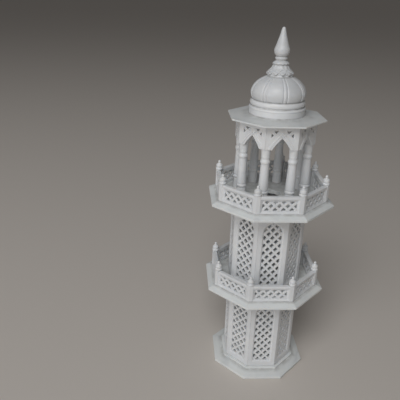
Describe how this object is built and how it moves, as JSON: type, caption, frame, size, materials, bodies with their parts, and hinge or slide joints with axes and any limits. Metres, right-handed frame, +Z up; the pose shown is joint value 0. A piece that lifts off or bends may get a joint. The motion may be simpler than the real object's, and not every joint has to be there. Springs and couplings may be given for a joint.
{
  "type": "marble minaret",
  "caption": "Octagonal marble minaret with pierced lattice storeys, railed balconies, an open pavilion of columns and arches, and a ribbed dome with lotus collar and finial.",
  "frame": {"origin": "centre of the base slab's underside, on the ground", "axes": "+Z up along the tower's axis; the octagon's flat sides face +X, -X, +Y and -Y and the diagonals between them; -Y is the front"},
  "size_m": [0.5016, 0.5016, 1.5],
  "materials": {
    "carved_marble": "white marble, sawn and carved, rubbed smooth with a soft sheen",
    "turned_marble": "white marble, turned and polished to a low gloss",
    "slab_marble": "white marble with faint grey veins, honed"
  },
  "bodies": {
    "root": {"base_plinth": "slab_marble", "lower_jali_1": "carved_marble", "lower_jali_2": "carved_marble", "lower_jali_3": "carved_marble", "lower_jali_4": "carved_marble", "lower_jali_5": "carved_marble", "lower_jali_6": "carved_marble", "lower_jali_7": "carved_marble", "lower_jali_8": "carved_marble", "lower_balcony_slab": "slab_marble", "lower_railing_1": "carved_marble", "lower_railing_2": "carved_marble", "lower_railing_3": "carved_marble", "lower_railing_4": "carved_marble", "lower_railing_5": "carved_marble", "lower_railing_6": "carved_marble", "lower_railing_7": "carved_marble", "lower_railing_8": "carved_marble", "upper_jali_1": "carved_marble", "upper_jali_2": "carved_marble", "upper_jali_3": "carved_marble", "upper_jali_4": "carved_marble", "upper_jali_5": "carved_marble", "upper_jali_6": "carved_marble", "upper_jali_7": "carved_marble", "upper_jali_8": "carved_marble", "upper_balcony_slab": "slab_marble", "upper_railing_1": "carved_marble", "upper_railing_2": "carved_marble", "upper_railing_3": "carved_marble", "upper_railing_4": "carved_marble", "upper_railing_5": "carved_marble", "upper_railing_6": "carved_marble", "upper_railing_7": "carved_marble", "upper_railing_8": "carved_marble", "column_1": "turned_marble", "column_2": "turned_marble", "column_3": "turned_marble", "column_4": "turned_marble", "column_5": "turned_marble", "column_6": "turned_marble", "column_7": "turned_marble", "column_8": "turned_marble", "arch_1": "carved_marble", "arch_2": "carved_marble", "arch_3": "carved_marble", "arch_4": "carved_marble", "arch_5": "carved_marble", "arch_6": "carved_marble", "arch_7": "carved_marble", "arch_8": "carved_marble", "roof_slab": "slab_marble", "dome_drum": "turned_marble", "dome": "turned_marble", "lotus_collar": "turned_marble", "finial": "turned_marble"}
  },
  "joints": []
}
